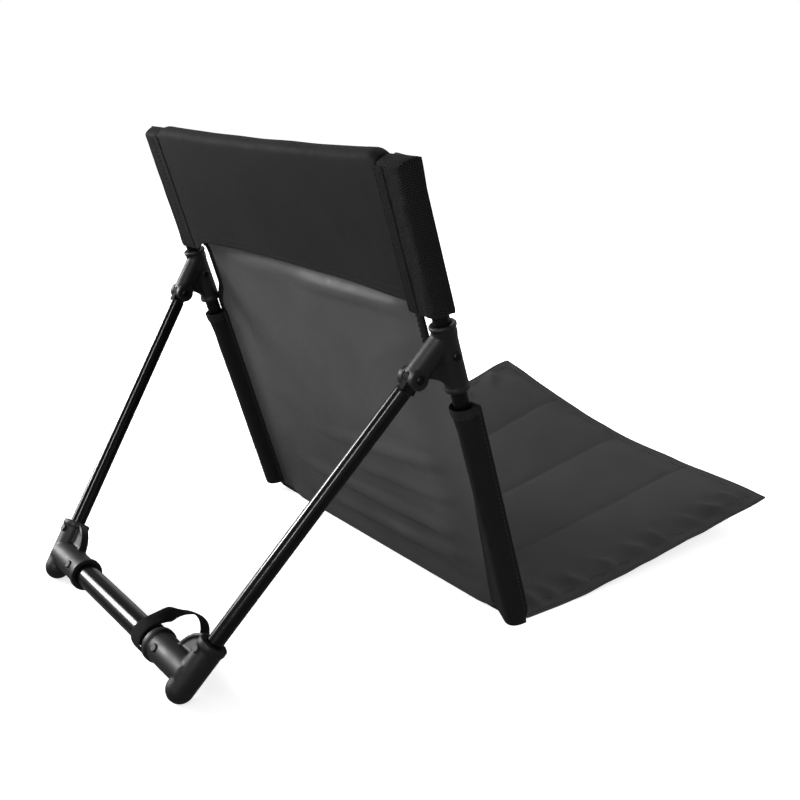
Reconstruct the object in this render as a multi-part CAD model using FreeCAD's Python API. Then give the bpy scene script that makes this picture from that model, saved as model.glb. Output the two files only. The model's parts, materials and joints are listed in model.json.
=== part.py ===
import FreeCAD, Part
import math
import os

os.makedirs("parts", exist_ok=True)
V = FreeCAD.Vector

# Driving sizes, in millimetres and degrees
back_width = 420.0
side_reach = 15.0
recline = 17.0
pole_length = 390.0
tube_od = 13.0
tube_wall = 1.0
hub_height = 262.0
prop_depth = 259.0
prop_spacing = 257.0
bar_od = 20.0
bar_wall = 1.2
prop_swing = 52.0
seat_depth = 342.0
seat_width_rear = 402.0
seat_width_front = 388.0

# Clearances
press_fit = 0.0
slide_fit = 0.25
pin_fit = 0.05
turn_fit = 0.3
fold_gap = 0.6
sewn_gap = 0.3
layer_gap = 0.02

# Moulded edges, and how far a cutting tool runs past what it cuts
bevel = 0.8
edge_break = 0.6
lip_slope = 1.0
overcut = 5.0

# Cloth and padding
cloth = 1.2
cover = 0.8
seat_edge = 2.4
seat_seam = 3.2
seat_crown = 7.0
seat_flat = 60.0
seat_level = 0.1
front_rise = [86.0, 59.0, 43.0, 36.0, 30.0]
rise_at_bend = 0.20
bend_share = 0.25
rear_crown_share = 0.1
front_crown_share = 0.4
bead_radius = 3.5
fold_height = 4.5

# Floor and feet
foot_radius = 11.0
foot_flat = 1.2
pole_foot_height = 12.0
bar_height = 20.0

# Derived frame, with the middle of the outline over the origin
tilt = math.radians(recline)
tube_r = tube_od / 2.0
tube_ri = tube_r - tube_wall
bar_r = bar_od / 2.0
half_back = back_width / 2.0
half_poles = half_back - side_reach
half_prop = prop_spacing / 2.0
foot_drop = foot_radius - foot_flat
hub_y = -hub_height * math.sin(tilt)
hub_z = pole_foot_height + hub_height * math.cos(tilt)
leg_run = V(half_prop - half_poles, -prop_depth - hub_y, bar_height - hub_z)
leg_dir = V(leg_run).normalize()
foot_reach = (bar_height - foot_drop) / -leg_dir.z
rear_reach = prop_depth - leg_dir.y * foot_reach + foot_radius
base_y = (rear_reach - seat_depth) / 2.0

X = V(1, 0, 0)
UP = V(0, -math.sin(tilt), math.cos(tilt))
FRONT = V(0, math.cos(tilt), math.sin(tilt))
hub = V(half_poles, base_y + hub_y, hub_z)
elbow = hub + leg_run
leg_length = leg_run.Length
prop_up = V(0, -leg_dir.y, -leg_dir.z).normalize()
prop_front = V(0, prop_up.z, -prop_up.y)

# Layers of the back, as distances in front of the pole axes
sleeve_ri = tube_r + sewn_gap
sleeve_ro = sleeve_ri + cloth
panel_rear = sleeve_ri
panel_front = panel_rear + cloth
fold_offset = panel_front + fold_gap
fold_s = (fold_height - pole_foot_height - fold_offset * math.sin(tilt)) / math.cos(tilt)
fold_y = base_y - fold_s * math.sin(tilt) + fold_offset * math.cos(tilt)

# Hub sizes
collar_r = 10.5
collar_rise = 10.0
collar_root = 2.0
collar_swell = 1.5
rim_high = 3.0
groove_high = 2.0
branch_r = 9.0
branch_drop = 44.0
lip_r = 10.0
lip_high = 4.0
arm_r = 8.75
knuckle_at = 38.0
cheek_r = 8.2
cheek_half = 9.0
tongue_half = 3.0
tongue_r = 7.6
pin_r = 2.0
web_half = 3.0
web_top = 2.0
arch_leg = 34.0
arch_bite = 1.5
arch_rise = 3.0
knuckle = hub + leg_dir * knuckle_at
leg_start = 12.5
plug_depth = 16.0
plug_shoulder = 2.0
plug_lead = 1.0
stem_inset = 0.5
stem_root = 1.0

# Elbow sizes
socket_r = 12.5
socket_length = 56.0
socket_back = 1.0
flange_r = 16.0
flange_thick = 5.0
leg_socket_r = 11.0
leg_mouth = 30.0
mouth_lip_r = 12.0
mouth_lip_high = 5.0
gusset_r = 31.0
gusset_half = 2.5
gusset_rim = 3.0
gusset_rim_half = 4.0
leg_end_gap = 14.0
bar_end_gap = 2.0

# Caps and rivets
cap_head = 1.6
cap_depth = 12.0
cap_lead = 1.5
rivet_r = 2.0
rivet_head_r = 3.4
rivet_head = 1.2
rivet_edge = 0.4
rivet_drop = 15.0
leg_rivet_rise = 21.0
bar_rivet_in = 40.0

# Strap sizes
strap_width = 20.0
strap_thick = 1.6
strap_play = 0.4
strap_from_elbow = 1.0
strap_tab = 16.0
loop_half = 33.0
loop_shift = 32.0
loop_base = 4.0
loop_high = 31.4
loop_lean = 2.0
loop_width = 14.0

# Sizes of the cloth of the back
bare_below_hub = 14.0
bare_above_hub = 7.0
notch_deep = 33.0
notch_round = 8.0
corner_in = 12.0
corner_rise = 14.0
hem = 1.0
strip_in = 24.0
strip_lap = 2.0
flange_wide = 4.0
flange_turn = 1.0
fold_ease = 0.2
binding_wide = 6.0


def save(name, shape):
    shape.exportStep("parts/" + name + ".step")


def mirrored(shape):
    return shape.mirror(V(0, 0, 0), V(1, 0, 0))


def pair(name, right):
    save("right_" + name, right)
    save("left_" + name, mirrored(right))


def both(name, right):
    save(name, Part.makeCompound([right, mirrored(right)]))


def rod(radius, start, direction, length):
    return Part.makeCylinder(radius, length, start, direction)


def fused(shapes):
    whole = shapes[0].multiFuse(shapes[1:])
    return whole.removeSplitter()


def turned(profile, origin, axis):
    # Profile points are (radius, distance along the axis)
    points = [V(r, 0, d) for r, d in profile]
    face = Part.Face(Part.makePolygon(points + points[:1]))
    solid = face.revolve(V(0, 0, 0), V(0, 0, 1), 360)
    solid.Placement = FreeCAD.Placement(origin, FreeCAD.Rotation(V(0, 0, 1), axis))
    return solid


def outline(start, moves):
    # A move is an end point for a line, or a (middle, end) pair for an arc
    edges = []
    here = start
    for move in moves:
        if isinstance(move, tuple):
            edges.append(Part.Arc(here, move[0], move[1]).toShape())
            here = move[1]
        else:
            edges.append(Part.makeLine(here, move))
            here = move
    return Part.Wire(edges)


def drilled(shape, radius, centre, axis, half):
    # A round hole right through, running past the solid on both sides
    return shape.cut(rod(radius, centre - axis * (half + overcut), axis, 2 * (half + overcut)))


def slab(wire, direction, thickness):
    return Part.Face(wire).extrude(direction * thickness)


def on_back(shape):
    # From a flat layout (x, front, along the pole) to the leaning back
    leaning = FreeCAD.Placement(V(0, base_y, pole_foot_height), FreeCAD.Rotation(X, recline))
    shape.Placement = leaning.multiply(shape.Placement)
    return shape


def tangent(point, radius, turn):
    # Touching point of a line from a point outside a circle round the origin
    reach = point.Length
    swing = math.acos(radius / reach) * turn
    angle = math.atan2(point.y, point.x) + swing
    return V(radius * math.cos(angle), radius * math.sin(angle), 0)


# Poles, caps and feet
pole_foot = V(half_poles, base_y, pole_foot_height)
rivet_at = hub - UP * rivet_drop
pole = rod(tube_r, pole_foot, UP, pole_length).cut(rod(tube_ri, pole_foot, UP, pole_length))
pair("pole", drilled(pole, rivet_r, rivet_at, X, branch_r))
cap_profile = [(0, -cap_depth), (tube_ri - bevel, -cap_depth), (tube_ri, cap_lead - cap_depth), (tube_ri, 0),
               (tube_r, 0), (tube_r, cap_head - edge_break), (tube_r - edge_break, cap_head), (0, cap_head)]
both("pole_top_caps", turned(cap_profile, pole_foot + UP * pole_length, UP))
both("pole_feet", turned(cap_profile, pole_foot, UP * -1))

# Knuckles: a tongue that turns between the cheeks of the hub, on a plug pressed into the leg
leg_from = hub + leg_dir * (knuckle_at + leg_start)
leg_span = leg_length - knuckle_at - leg_start - leg_end_gap
arm_flat = V(0, leg_dir.y, leg_dir.z).normalize()
stem_side = V(0, -arm_flat.z, arm_flat.y)
stem_length = leg_start - plug_shoulder + stem_root


def stem_block(grow):
    # Flat stem between tongue and plug, grown on its sides by a clearance
    half = tube_r - stem_inset + grow
    thick = tongue_half + (slide_fit if grow else 0.0)
    corner = knuckle - X * thick - stem_side * half
    ahead = arm_flat * (stem_length + grow)
    across = stem_side * (2 * half)
    wire = outline(corner, [corner + ahead, corner + ahead + across, corner + across, corner])
    return slab(wire, X, 2 * thick)


plug_profile = [(0, -plug_shoulder), (tube_r - stem_inset, -plug_shoulder),
                (tube_r, stem_inset - plug_shoulder), (tube_r, 0), (tube_ri, 0),
                (tube_ri, plug_depth - plug_lead), (tube_ri - plug_lead, plug_depth), (0, plug_depth)]
tongue = rod(tongue_r, knuckle - X * tongue_half, X, 2 * tongue_half)
knuckle_solid = fused([tongue, stem_block(0.0), turned(plug_profile, leg_from, leg_dir)])
pair("knuckle", drilled(knuckle_solid, pin_r + pin_fit, knuckle, X, tongue_half))

# Hubs: a collar and branch on the pole, an arm with two cheeks for the leg, and an arched web between
pole_bore_r = tube_r + press_fit
groove_r = collar_r - 2 * bevel
rim_low = collar_rise - rim_high
collar_profile = [(0, -collar_root), (branch_r, -collar_root), (collar_r - bevel, collar_swell),
                  (collar_r - bevel, rim_low - groove_high), (groove_r, rim_low - groove_high + edge_break),
                  (groove_r, rim_low - edge_break), (collar_r, rim_low), (collar_r, collar_rise - bevel),
                  (collar_r - bevel, collar_rise), (0, collar_rise)]
branch_profile = [(0, 0), (0, branch_drop), (lip_r - edge_break, branch_drop),
                  (lip_r, branch_drop - edge_break), (lip_r, branch_drop - lip_high + lip_slope),
                  (branch_r, branch_drop - lip_high), (branch_r, 0)]
lean = leg_dir.dot(UP)
web_back = (leg_dir - UP * lean).normalize()
web_side = UP.cross(web_back).normalize()
lean_back = leg_dir.dot(web_back)
web_low = lip_high + lip_slope - branch_drop


def web_point(back, up):
    return hub + web_back * back + UP * up - web_side * web_half


arch_in = arm_r - arch_bite
arch_start = web_point(arch_leg * lean_back + lean * arch_in, arch_leg * lean - lean_back * arch_in)
arch_end = web_point(branch_r - arch_bite, web_low)
arch_mid = (arch_start + arch_end) * 0.5 + UP * arch_rise
web_wire = outline(web_point(0, web_top), [
    web_point(arch_leg * lean_back, arch_leg * lean), arch_start, (arch_mid, arch_end), web_point(0, web_low),
    web_point(0, web_top)])
arm = rod(arm_r, hub, leg_dir, knuckle_at + arm_r)
beyond = Part.makeBox(6 * arm_r, 6 * arm_r, 6 * arm_r, V(-3 * arm_r, -3 * arm_r, 0))
beyond.Placement = FreeCAD.Placement(knuckle, FreeCAD.Rotation(V(0, 0, 1), arm_flat))
cheeks = rod(cheek_r, knuckle - X * cheek_half, X, 2 * cheek_half)
hub_solid = fused([turned(collar_profile, hub, UP), turned(branch_profile, hub, UP * -1), arm.cut(beyond),
                   cheeks, slab(web_wire, web_side, 2 * web_half)])
slot_half = tongue_half + slide_fit
hub_solid = hub_solid.cut(rod(cheek_r + turn_fit, knuckle - X * slot_half, X, 2 * slot_half))
folded_stem = stem_block(turn_fit)
folded_stem.rotate(knuckle, X, prop_swing)
hub_solid = hub_solid.cut(folded_stem)
for side in (1, -1):
    seat_for_head = rod(rivet_head_r + turn_fit, knuckle + X * (side * cheek_half), X * side, overcut)
    hub_solid = hub_solid.cut(seat_for_head)
hub_solid = drilled(hub_solid, pole_bore_r, hub, UP, branch_drop)
hub_solid = drilled(hub_solid, pin_r, knuckle, X, cheek_half)
pair("hub", drilled(hub_solid, rivet_r, rivet_at, X, branch_r))


def rivet(centre, axis, half):
    end = half + rivet_head
    profile = [(0, -end), (rivet_head_r - edge_break, -end), (rivet_head_r, -half - rivet_edge),
               (rivet_head_r, -half), (rivet_r, -half), (rivet_r, half), (rivet_head_r, half),
               (rivet_head_r, half + rivet_edge), (rivet_head_r - edge_break, end), (0, end)]
    return turned(profile, centre, axis)


both("hub_rivets", rivet(rivet_at, X, branch_r))
both("knuckle_pins", rivet(knuckle, X, cheek_half))

# Elbows: a socket for the bar, a mouth for the leg, a rimmed gusset between and a round foot below
in_x = V(-1, 0, 0)
leg_back = leg_dir * -1
foot_at = elbow + leg_dir * foot_reach
flange_low = socket_length - flange_thick
socket_profile = [(0, -socket_back), (socket_r, -socket_back), (socket_r, flange_low - lip_slope),
                  (flange_r - bevel, flange_low), (flange_r, flange_low + bevel),
                  (flange_r, socket_length - bevel), (flange_r - bevel, socket_length), (0, socket_length)]
lip_low = leg_mouth - mouth_lip_high
mouth_profile = [(0, 0), (leg_socket_r, 0), (leg_socket_r, lip_low - lip_slope), (mouth_lip_r, lip_low),
                 (mouth_lip_r, leg_mouth - bevel), (mouth_lip_r - bevel, leg_mouth), (0, leg_mouth)]
across = (in_x + leg_back).normalize()


def gusset_plate(inner, half):
    # A sector between bar and leg, from an inner radius to the gusset's edge
    at = elbow - prop_front * half
    moves = [(at + across * gusset_r, at + leg_back * gusset_r)]
    if inner:
        moves += [at + leg_back * inner, (at + across * inner, at + in_x * inner)]
    else:
        moves += [at]
    wire = outline(at + in_x * gusset_r, moves + [at + in_x * gusset_r])
    return slab(wire, prop_front, 2 * half)


elbow_solid = fused([turned(socket_profile, elbow, in_x), Part.makeSphere(foot_radius, foot_at),
                     rod(leg_socket_r, foot_at, leg_back, foot_reach), turned(mouth_profile, elbow, leg_back),
                     gusset_plate(0.0, gusset_half), gusset_plate(gusset_r - gusset_rim, gusset_rim_half)])
under = Part.makeBox(8 * foot_radius, 8 * foot_radius, foot_radius,
                     V(foot_at.x - 4 * foot_radius, foot_at.y - 4 * foot_radius, -foot_radius))
elbow_solid = elbow_solid.cut(under)
bar_reach = half_prop - bar_end_gap
elbow_solid = elbow_solid.cut(rod(bar_r, V(bar_reach, elbow.y, elbow.z), in_x, bar_reach))
leg_tip = leg_from + leg_dir * leg_span
elbow_solid = elbow_solid.cut(rod(tube_r, leg_tip, leg_back, leg_mouth + overcut))
leg_rivet_at = elbow + leg_back * leg_rivet_rise
bar_rivet_at = elbow + in_x * bar_rivet_in
elbow_solid = drilled(elbow_solid, rivet_r, leg_rivet_at, prop_front, leg_socket_r)
pair("elbow", drilled(elbow_solid, rivet_r, bar_rivet_at, prop_front, socket_r))
leg = rod(tube_r, leg_from, leg_dir, leg_span).cut(rod(tube_ri, leg_from, leg_dir, leg_span))
pair("leg", drilled(leg, rivet_r, leg_rivet_at, prop_front, leg_socket_r))
both("leg_rivets", rivet(leg_rivet_at, prop_front, leg_socket_r))
both("bar_rivets", rivet(bar_rivet_at, prop_front, socket_r))
bar_end = V(-bar_reach, elbow.y, elbow.z)
bar = rod(bar_r, bar_end, X, 2 * bar_reach).cut(rod(bar_r - bar_wall, bar_end, X, 2 * bar_reach))
for side in (1, -1):
    hole_at = V(side * bar_rivet_at.x, bar_rivet_at.y, bar_rivet_at.z)
    bar = drilled(bar, rivet_r, hole_at, prop_front, socket_r)
save("rear_bar", bar)

# Strap wrapped once round the bar, with its closed loop standing beside it
strap_ri = bar_r + strap_play
strap_ro = strap_ri + strap_thick
strap_x = half_prop - socket_length - strap_from_elbow - strap_width
ring_at = V(strap_x, elbow.y, elbow.z)
ring = rod(strap_ro, ring_at, X, strap_width).cut(rod(strap_ri, ring_at, X, strap_width))
loop_centre = ring_at + X * loop_shift + prop_front * strap_ri + prop_up * loop_base
loop_end = flange_r - gusset_half


def loop_point(along, high):
    return loop_centre + X * along + prop_up * high


loop_wire = outline(loop_point(-loop_half, 0), [
    (loop_point(-loop_lean, loop_high), loop_point(loop_half, loop_end)),
    loop_point(loop_half - strap_thick, loop_end),
    (loop_point(-loop_lean, loop_high - strap_thick), loop_point(strap_thick - loop_half, 0)),
    loop_point(-loop_half, 0)])
tab = Part.makeBox(strap_width, strap_thick, strap_tab)
tab.Placement = FreeCAD.Placement(ring_at + prop_front * strap_ri - prop_up * (strap_tab / 2.0),
                                  FreeCAD.Rotation(X, prop_front, prop_up, "XYZ"))
save("strap", fused([ring, tab, slab(loop_wire, prop_front, loop_width)]))

# Cloth of the back: front panel with a notch beside each hub, and the rolled seam that it folds about
notch_low = hub_height - branch_drop - bare_below_hub
notch_high = hub_height + collar_rise + bare_above_hub
notch_in = half_poles - notch_deep
top_s = pole_length + cap_head + sewn_gap + cloth
low_s = fold_s + hem
low_half = half_back - corner_in
corner = notch_round * (1 - math.sqrt(0.5))


def flat(x, s):
    return V(x, panel_rear, s)


def notch_side(side):
    # Points up one side of the panel, from the low corner to the top corner
    return [flat(side * half_back, low_s + corner_rise), flat(side * half_back, notch_low),
            flat(side * (notch_in + notch_round), notch_low),
            (flat(side * (notch_in + corner), notch_low + corner),
             flat(side * notch_in, notch_low + notch_round)),
            flat(side * notch_in, notch_high - notch_round),
            (flat(side * (notch_in + corner), notch_high - corner),
             flat(side * (notch_in + notch_round), notch_high)),
            flat(side * half_back, notch_high), flat(side * half_back, top_s)]


def reversed_moves(start, moves):
    # The same path walked from its end back to its start
    ends = [start] + [m[1] if isinstance(m, tuple) else m for m in moves]
    back = []
    for i in range(len(moves) - 1, -1, -1):
        move = moves[i]
        back.append((move[0], ends[i]) if isinstance(move, tuple) else ends[i])
    return back


left_moves = notch_side(-1)
panel_moves = notch_side(1) + [flat(-half_back, top_s)]
panel_moves += reversed_moves(left_moves[0], left_moves[1:])
panel_moves += [flat(-low_half, low_s), flat(low_half, low_s)]
panel = slab(outline(flat(low_half, low_s), panel_moves), V(0, 1, 0), cloth)
bead = rod(bead_radius, V(-low_half, fold_offset, fold_s), X, 2 * low_half)
save("back_panel", on_back(fused([panel, bead])))

# Side sleeves: a strip of cloth over the pole, sewn to the panel, closed at one end and open at the notch
flange_n = panel_rear - cloth
outer_foot = V(side_reach - flange_wide + flange_turn, flange_n, 0)
inner_foot = V(flange_wide - strip_in, flange_n, 0)
outer_in = V(outer_foot.x - fold_ease, panel_rear, 0)
inner_in = V(inner_foot.x + fold_ease, panel_rear, 0)
strip_end = strip_lap - strip_in


def around(radius, angle):
    return V(radius * math.cos(angle), radius * math.sin(angle), 0)


def sleeve_skin(rear_flat):
    # Outline of the outside. With rear_flat the inner edge stays at the rear, where the pocket panel meets it
    moves = [V(side_reach, flange_n, 0), outer_foot, tangent(outer_foot, sleeve_ro, -1)]
    if rear_flat:
        moves += [(around(sleeve_ro, -1.0), V(0, -sleeve_ro, 0)), V(strip_end, -sleeve_ro, 0),
                  V(strip_end, panel_rear, 0)]
    else:
        moves += [(V(0, -sleeve_ro, 0), tangent(inner_foot, sleeve_ro, 1)), inner_foot,
                  V(-strip_in, flange_n, 0), V(-strip_in, panel_rear, 0)]
    return outline(V(side_reach, panel_rear, 0), moves + [V(side_reach, panel_rear, 0)])


def sleeve_hollow(rear_flat):
    # Outline of the space inside, round the pole
    moves = [tangent(outer_in, sleeve_ri, -1)]
    if rear_flat:
        past = strip_end - overcut
        moves += [(around(sleeve_ri, -1.0), V(0, -sleeve_ri, 0)), V(past, -sleeve_ri, 0),
                  V(past, panel_rear, 0)]
    else:
        moves += [(V(0, -sleeve_ri, 0), tangent(inner_in, sleeve_ri, 1)), inner_in]
    return outline(outer_in, moves + [outer_in])


def sleeve(low, high, hollow_low, hollow_high, rear_flat):
    skin = slab(sleeve_skin(rear_flat), V(0, 0, 1), high - low)
    skin.translate(V(half_poles, 0, low))
    hollow = slab(sleeve_hollow(rear_flat), V(0, 0, 1), hollow_high - hollow_low)
    hollow.translate(V(half_poles, 0, hollow_low))
    return on_back(skin.cut(hollow))


sleeve_low = -cap_head - sewn_gap - cloth
pair("lower_sleeve", sleeve(sleeve_low, notch_low, sleeve_low + cloth, notch_low + overcut, False))
pair("upper_sleeve", sleeve(notch_high, top_s, notch_high - overcut, top_s - cloth, True))

# Pocket panel: the rear layer of the upper back, open below, closed along the top
pocket_half = half_poles + strip_end
pocket_deep = top_s - notch_high
pocket = Part.makeBox(2 * pocket_half, cloth, pocket_deep, V(-pocket_half, -sleeve_ro, notch_high))
pocket_top = Part.makeBox(2 * pocket_half, panel_rear + sleeve_ro, cloth,
                          V(-pocket_half, -sleeve_ro, top_s - cloth))
save("pocket_panel", on_back(fused([pocket, pocket_top])))

# Bindings sewn behind the inner edge of each notch
binding = Part.makeBox(binding_wide, cover, notch_high - notch_low - 2 * notch_round,
                       V(notch_in - binding_wide, panel_rear - cover, notch_low + notch_round))
pair("notch_binding", on_back(binding))

# Seat: two covers with foam between, quilted in channels, its front raised and its left side curled up
channels = len(front_rise) - 1
seat_rear = fold_y + bead_radius + fold_gap
seat_front = base_y + seat_depth
flat_end = base_y + seat_flat
bend_end = flat_end + (seat_front - flat_end) * bend_share
stations = [(seat_rear, 0.0, rear_crown_share), (flat_end, 0.0, 1.0), (bend_end, rise_at_bend, 1.0),
            (seat_front, 1.0, front_crown_share)]


def seat_x(i, y):
    share = (y - seat_rear) / (seat_front - seat_rear)
    wide = seat_width_rear + (seat_width_front - seat_width_rear) * share
    return -wide / 2.0 + wide * i / channels


def layer_height(kind, thick):
    # Height of one face of the seat's layers above its underside, where the whole seat is that thick
    return {"floor": 0.0, "cover_high": cover, "foam_low": cover + layer_gap,
            "foam_high": thick - cover - layer_gap, "cover_low": thick - cover, "top": thick}[kind]


def seat_edges(station, kind):
    # Points at the seams, and the lines or crowned arcs between them, across one station
    y, share, crown_share = station
    level = -seat_level if kind == "floor" and share == 0.0 else 0.0
    points = []
    for i in range(channels + 1):
        thick = seat_edge if i in (0, channels) else seat_seam
        points.append(V(seat_x(i, y), y, front_rise[i] * share + layer_height(kind, thick) + level))
    crown = seat_seam + (seat_crown - seat_seam) * crown_share
    edges = []
    for i in range(channels):
        if kind in ("floor", "cover_high", "foam_low"):
            edges.append(Part.makeLine(points[i], points[i + 1]))
        else:
            rise = (front_rise[i] + front_rise[i + 1]) * 0.5 * share
            middle = V((points[i].x + points[i + 1].x) * 0.5, y, rise + layer_height(kind, crown))
            edges.append(Part.Arc(points[i], middle, points[i + 1]).toShape())
    return points, edges


def seat_layer(low_kind, high_kind):
    wires = []
    for station in stations:
        low_points, low_edges = seat_edges(station, low_kind)
        high_points, high_edges = seat_edges(station, high_kind)
        sides = [Part.makeLine(low_points[-1], high_points[-1]), Part.makeLine(high_points[0], low_points[0])]
        wires.append(Part.Wire(Part.__sortEdges__(low_edges + high_edges + sides)))
    return Part.makeLoft(wires, True, True)


# The rear strip of the underside is cut level, where it lies on the ground
ground = Part.makeBox(2 * seat_width_rear, 2 * seat_depth, overcut,
                      V(-seat_width_rear, seat_rear - seat_depth, -overcut))
save("seat_bottom_cover", seat_layer("floor", "cover_high").cut(ground))
save("seat_foam", seat_layer("foam_low", "foam_high"))
save("seat_top_cover", seat_layer("cover_low", "top"))

print("base_y", round(base_y, 3))
print("fold axis y z", round(fold_y, 3), fold_height)
print("knuckle", [round(c, 3) for c in knuckle])
print("bar", [round(c, 3) for c in elbow], "strap x", round(strap_x, 2))
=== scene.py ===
"""Looks of a low folding camping chair: quilted ground seat, cloth back on poles and tubular prop."""
import json
import math

import bpy
import numpy as np
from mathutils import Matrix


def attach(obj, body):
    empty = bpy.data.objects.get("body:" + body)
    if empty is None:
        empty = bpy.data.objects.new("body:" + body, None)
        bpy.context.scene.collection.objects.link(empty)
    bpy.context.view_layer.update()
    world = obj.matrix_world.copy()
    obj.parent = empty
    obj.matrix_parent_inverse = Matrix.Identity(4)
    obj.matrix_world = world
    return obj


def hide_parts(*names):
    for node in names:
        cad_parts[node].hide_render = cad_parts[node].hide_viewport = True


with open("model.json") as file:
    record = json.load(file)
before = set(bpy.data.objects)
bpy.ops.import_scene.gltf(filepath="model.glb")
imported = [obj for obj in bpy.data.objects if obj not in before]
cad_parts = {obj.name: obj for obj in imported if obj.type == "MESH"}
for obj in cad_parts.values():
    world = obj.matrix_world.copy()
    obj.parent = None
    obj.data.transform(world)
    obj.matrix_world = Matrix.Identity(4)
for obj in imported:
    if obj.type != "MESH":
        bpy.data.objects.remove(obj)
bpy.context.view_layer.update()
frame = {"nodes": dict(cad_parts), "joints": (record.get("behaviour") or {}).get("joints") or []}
scene = bpy.context.scene

# Lengths below are in millimetres, and become metres where meshes are made
MM = 0.001
RECLINE = math.radians(17.0)
RIGHT = np.array([1.0, 0.0, 0.0])
AHEAD = np.array([0.0, 1.0, 0.0])
ABOVE = np.array([0.0, 0.0, 1.0])
UP = np.array([0.0, -math.sin(RECLINE), math.cos(RECLINE)])
FRONT = np.array([0.0, math.cos(RECLINE), math.sin(RECLINE)])
SIDES = (("left", -1), ("right", 1))


def mesh_points(mesh):
    flat = np.empty(len(mesh.vertices) * 3, np.float32)
    mesh.vertices.foreach_get("co", flat)
    return flat.reshape(-1, 3).astype(float) / MM


def reach(name, direction):
    """Least and greatest distance of a node's points along a direction."""
    along = mesh_points(frame["nodes"][name].data) @ direction
    return along.min(), along.max()


def middle(limits):
    return sum(limits) / 2.0


# Thickness of the cloth
CLOTH = 1.2

# The back's own frame: x across, n in front of the pole axes, s along the poles from their feet
POLE_X = middle(reach("right_pole", RIGHT))
POLE_N = middle(reach("right_pole", FRONT))
POLE_S = reach("right_pole", UP)[0]
TUBE_R = reach("right_pole", RIGHT)[1] - POLE_X
HALF_BACK = reach("back_panel", RIGHT)[1]
NOTCH_LOW = reach("right_lower_sleeve", UP)[1] - POLE_S
NOTCH_HIGH = reach("right_upper_sleeve", UP)[0] - POLE_S
NOTCH_IN = reach("right_notch_binding", RIGHT)[1]
SEAM_X = reach("pocket_panel", RIGHT)[1]
TOP_S = reach("pocket_panel", UP)[1] - POLE_S
PANEL_N = reach("right_notch_binding", FRONT)[1] - POLE_N + CLOTH / 2.0
POCKET_N = reach("pocket_panel", FRONT)[0] - POLE_N + CLOTH / 2.0
FOLD = np.array([j["pos_m"] for j in frame["joints"] if j["name"] == "back_fold"][0]) / MM
FOLD_S = FOLD @ UP - POLE_S
# The hood's open hem hangs a little higher than the ends of the sleeves beside it
HOOD_HEM = NOTCH_HIGH + 9.0


def on_back(x, n, s):
    """World points, in millimetres, of places on the back."""
    x, n, s = np.broadcast_arrays(x, n, s)
    base = (POLE_N + n)[..., None] * FRONT + (POLE_S + s)[..., None] * UP
    return base + x[..., None] * RIGHT


def ramp(value, start, end):
    """Smooth step from 0 at start to 1 at end."""
    t = np.clip((value - start) / (end - start), 0.0, 1.0)
    return t * t * (3.0 - 2.0 * t)


def ripples(u, v, size, seed, count=9):
    """Soft irregular waves about the given size, between about -1 and 1, the same on every run."""
    draw = np.random.default_rng(seed)
    total = np.zeros(np.broadcast(u, v).shape)
    for _ in range(count):
        turn, phase = draw.uniform(0.0, math.tau, 2)
        wave = size * draw.uniform(0.6, 1.7)
        total += np.sin(math.tau * (u * math.cos(turn) + v * math.sin(turn)) / wave + phase)
    return total / count ** 0.5 / 1.4


def pairs(u, v):
    """Places on cloth from their two coordinates."""
    return np.stack(np.broadcast_arrays(u, v), axis=-1)


# Meshes

def add_object(name, data):
    thing = bpy.data.objects.new(name, data)
    scene.collection.objects.link(thing)
    return thing


def make_object(name, points, faces, uv=None, material=None):
    mesh = bpy.data.meshes.new(name)
    mesh.from_pydata((np.reshape(points, (-1, 3)) * MM).tolist(), [], faces)
    if uv is not None:
        layer = mesh.uv_layers.new(name="cloth")
        corner = np.empty(len(mesh.loops), np.int32)
        mesh.loops.foreach_get("vertex_index", corner)
        flat = np.reshape(uv, (-1, 2)) * MM
        layer.data.foreach_set("uv", flat[corner].astype(np.float32).ravel())
    mesh.shade_smooth()
    if material:
        mesh.materials.append(material)
    return add_object(name, mesh)


def grid_faces(rows, cols, around=False, keep=None):
    faces = []
    last = cols if around else cols - 1
    for r in range(rows - 1):
        for c in range(last):
            if keep is None or keep[r, c]:
                right = (c + 1) % cols
                faces.append((r * cols + c, r * cols + right, (r + 1) * cols + right, (r + 1) * cols + c))
    return faces


def make_grid(name, points, uv, material):
    return make_object(name, points, grid_faces(*points.shape[:2]), uv, material)


def soften(thing):
    mod = thing.modifiers.new("soft", "SUBSURF")
    mod.levels = 1
    mod.render_levels = 1


def thicken(thing, thick, back_material=None):
    """Gives a sheet of cloth its thickness, and softens it."""
    mod = thing.modifiers.new("cloth thickness", "SOLIDIFY")
    mod.thickness = thick * MM
    mod.offset = 0.0
    mod.use_even_offset = True
    if back_material:
        thing.data.materials.append(back_material)
        mod.material_offset = 1
        mod.material_offset_rim = 1
    soften(thing)


def ring_faces(rows, sides):
    """Faces of a closed tube, with a cap at each end."""
    faces = grid_faces(rows, sides, around=True)
    faces.append(tuple(range(sides))[::-1])
    faces.append(tuple((rows - 1) * sides + i for i in range(sides)))
    return faces


def along_path(path):
    """Distance from the start of a path at each of its points."""
    steps = np.linalg.norm(np.diff(path, axis=0), axis=-1)
    return np.concatenate([0.0 * steps[:1], np.cumsum(steps, axis=0)])


def places(where, far, values):
    """Values at given distances along a path."""
    return np.stack([np.interp(where, far, column) for column in values.T], axis=-1)


def even(path, count):
    """The same path with points evenly spaced along it."""
    far = along_path(path)
    return places(np.linspace(0.0, far[-1], count), far, path)


def rounded(path, passes):
    """The path with its corners eased, and its ends kept."""
    path = path.copy()
    for _ in range(passes):
        path[1:-1] = (path[:-2] + 2.0 * path[1:-1] + path[2:]) / 4.0
    return path


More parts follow.
